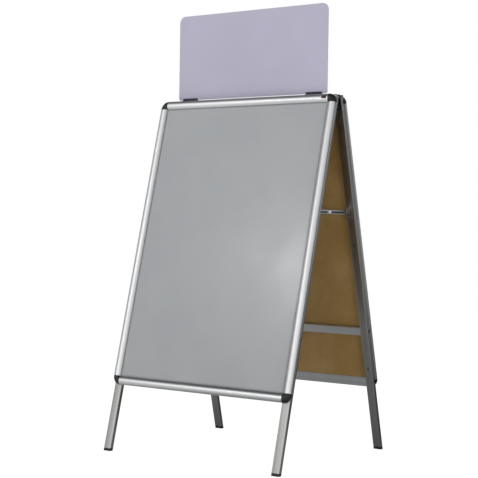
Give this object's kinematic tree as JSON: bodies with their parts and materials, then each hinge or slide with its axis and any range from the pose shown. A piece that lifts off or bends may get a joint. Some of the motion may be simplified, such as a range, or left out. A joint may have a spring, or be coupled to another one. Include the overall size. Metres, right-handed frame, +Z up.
{
  "type": "sandwich board",
  "caption": "Folding A-frame pavement sign with snap-open poster frames on tube legs, folding stays and a lift-out header panel.",
  "frame": {"origin": "on the floor, at the middle of the open sign", "axes": "+X to the right across the sign, -Y towards the front poster, +Z up"},
  "size_m": [0.624, 0.5568, 1.2946],
  "materials": {
    "satin_aluminium": "satin anodised, drawn grain along each length",
    "snap_flap_aluminium": "satin anodised, drawn grain along each length",
    "black_plastic": "fine moulded texture",
    "spring_steel": "blued",
    "cover_film": "matt anti-glare film",
    "grey_backing": "smooth matt",
    "hardboard": "pressed fibre board, one face smooth",
    "zinc_steel": "bright zinc plate",
    "hinge_steel": "black oxide",
    "header_plastic": "smooth satin sheet",
    "badge_plastic": "plain gloss"
  },
  "bodies": {
    "front_frame": {"front_profile_top": "satin_aluminium", "front_profile_bottom": "satin_aluminium", "front_profile_left": "satin_aluminium", "front_profile_right": "satin_aluminium", "front_corner_caps": "black_plastic", "front_flap_springs": "spring_steel", "front_cover_sheet": "cover_film", "front_backing_sheet": "grey_backing", "front_back_panel": "hardboard", "front_leg_left": "satin_aluminium", "front_leg_right": "satin_aluminium", "front_leg_plugs": "black_plastic", "front_foot_caps": "black_plastic", "front_crossbar": "satin_aluminium", "front_crossbar_plugs": "black_plastic", "front_screws": "zinc_steel", "front_hinge_leaves": "hinge_steel", "front_stay_brackets": "zinc_steel", "front_stay_rivets": "zinc_steel", "hinge_pins": "hinge_steel", "header_clips": "black_plastic"},
    "rear_frame": {"rear_profile_top": "satin_aluminium", "rear_profile_bottom": "satin_aluminium", "rear_profile_left": "satin_aluminium", "rear_profile_right": "satin_aluminium", "rear_corner_caps": "black_plastic", "rear_flap_springs": "spring_steel", "rear_cover_sheet": "cover_film", "rear_backing_sheet": "grey_backing", "rear_back_panel": "hardboard", "rear_leg_left": "satin_aluminium", "rear_leg_right": "satin_aluminium", "rear_leg_plugs": "black_plastic", "rear_foot_caps": "black_plastic", "rear_crossbar": "satin_aluminium", "rear_crossbar_plugs": "black_plastic", "rear_screws": "zinc_steel", "rear_hinge_leaves": "hinge_steel", "rear_stay_brackets": "zinc_steel", "rear_stay_rivets": "zinc_steel"},
    "stay_front_left": {"stay_link_front_left": "zinc_steel", "knee_rivet_front_left": "zinc_steel"},
    "stay_rear_left": {"stay_link_rear_left": "zinc_steel", "knee_rivet_rear_left": "zinc_steel"},
    "stay_front_right": {"stay_link_front_right": "zinc_steel", "knee_rivet_front_right": "zinc_steel"},
    "stay_rear_right": {"stay_link_rear_right": "zinc_steel", "knee_rivet_rear_right": "zinc_steel"},
    "front_top_flap": {"front_flap_top": "snap_flap_aluminium", "badge": "badge_plastic"},
    "front_bottom_flap": {"front_flap_bottom": "snap_flap_aluminium"},
    "front_left_flap": {"front_flap_left": "snap_flap_aluminium"},
    "front_right_flap": {"front_flap_right": "snap_flap_aluminium"},
    "rear_top_flap": {"rear_flap_top": "snap_flap_aluminium"},
    "rear_bottom_flap": {"rear_flap_bottom": "snap_flap_aluminium"},
    "rear_left_flap": {"rear_flap_left": "snap_flap_aluminium"},
    "rear_right_flap": {"rear_flap_right": "snap_flap_aluminium"},
    "header": {"header_panel": "header_plastic"}
  },
  "joints": [
    {"name": "fold", "type": "hinge", "parent": "front_frame", "child": "rear_frame", "pos_m": [0, 0, 1.02907], "axis": [-1, 0, 0], "range_deg": [0, 28.4]},
    {"name": "stay_front_left_pivot", "type": "hinge", "parent": "front_frame", "child": "stay_front_left", "pos_m": [-0.28, -0.09431, 0.70325], "axis": [1, 0, 0], "range_deg": [0, 69]},
    {"name": "stay_rear_left_pivot", "type": "hinge", "parent": "rear_frame", "child": "stay_rear_left", "pos_m": [-0.28, 0.09431, 0.70325], "axis": [-1, 0, 0], "range_deg": [0, 69]},
    {"name": "stay_front_right_pivot", "type": "hinge", "parent": "front_frame", "child": "stay_front_right", "pos_m": [0.28, -0.09431, 0.70325], "axis": [1, 0, 0], "range_deg": [0, 69]},
    {"name": "stay_rear_right_pivot", "type": "hinge", "parent": "rear_frame", "child": "stay_rear_right", "pos_m": [0.28, 0.09431, 0.70325], "axis": [-1, 0, 0], "range_deg": [0, 69]},
    {"name": "front_top_flap_hinge", "type": "hinge", "parent": "front_frame", "child": "front_top_flap", "pos_m": [0, -0.02391, 1.03202], "axis": [-1, 0, 0], "range_deg": [0, 90]},
    {"name": "front_bottom_flap_hinge", "type": "hinge", "parent": "front_frame", "child": "front_bottom_flap", "pos_m": [0, -0.2361, 0.19345], "axis": [1, 0, 0], "range_deg": [0, 90]},
    {"name": "front_left_flap_hinge", "type": "hinge", "parent": "front_frame", "child": "front_left_flap", "pos_m": [-0.309, -0.13, 0.61274], "axis": [0, -0.2453, -0.9694], "range_deg": [0, 90]},
    {"name": "front_right_flap_hinge", "type": "hinge", "parent": "front_frame", "child": "front_right_flap", "pos_m": [0.309, -0.13, 0.61274], "axis": [0, 0.2453, 0.9694], "range_deg": [0, 90]},
    {"name": "rear_top_flap_hinge", "type": "hinge", "parent": "rear_frame", "child": "rear_top_flap", "pos_m": [0, 0.02391, 1.03202], "axis": [1, 0, 0], "range_deg": [0, 90]},
    {"name": "rear_bottom_flap_hinge", "type": "hinge", "parent": "rear_frame", "child": "rear_bottom_flap", "pos_m": [0, 0.2361, 0.19345], "axis": [-1, 0, 0], "range_deg": [0, 90]},
    {"name": "rear_left_flap_hinge", "type": "hinge", "parent": "rear_frame", "child": "rear_left_flap", "pos_m": [-0.309, 0.13, 0.61274], "axis": [0, -0.2453, 0.9694], "range_deg": [0, 90]},
    {"name": "rear_right_flap_hinge", "type": "hinge", "parent": "rear_frame", "child": "rear_right_flap", "pos_m": [0.309, 0.13, 0.61274], "axis": [0, 0.2453, -0.9694], "range_deg": [0, 90]},
    {"name": "header_lift", "type": "slide", "parent": "front_frame", "child": "header", "axis": [0, 0, 1], "range_m": [0, 0.03]}
  ],
  "couplings": [
    {"joint": "stay_front_left_pivot", "follows": "fold", "ratio": 2.4224},
    {"joint": "stay_rear_left_pivot", "follows": "fold", "ratio": 2.4224},
    {"joint": "stay_front_right_pivot", "follows": "fold", "ratio": 2.4224},
    {"joint": "stay_rear_right_pivot", "follows": "fold", "ratio": 2.4224}
  ]
}
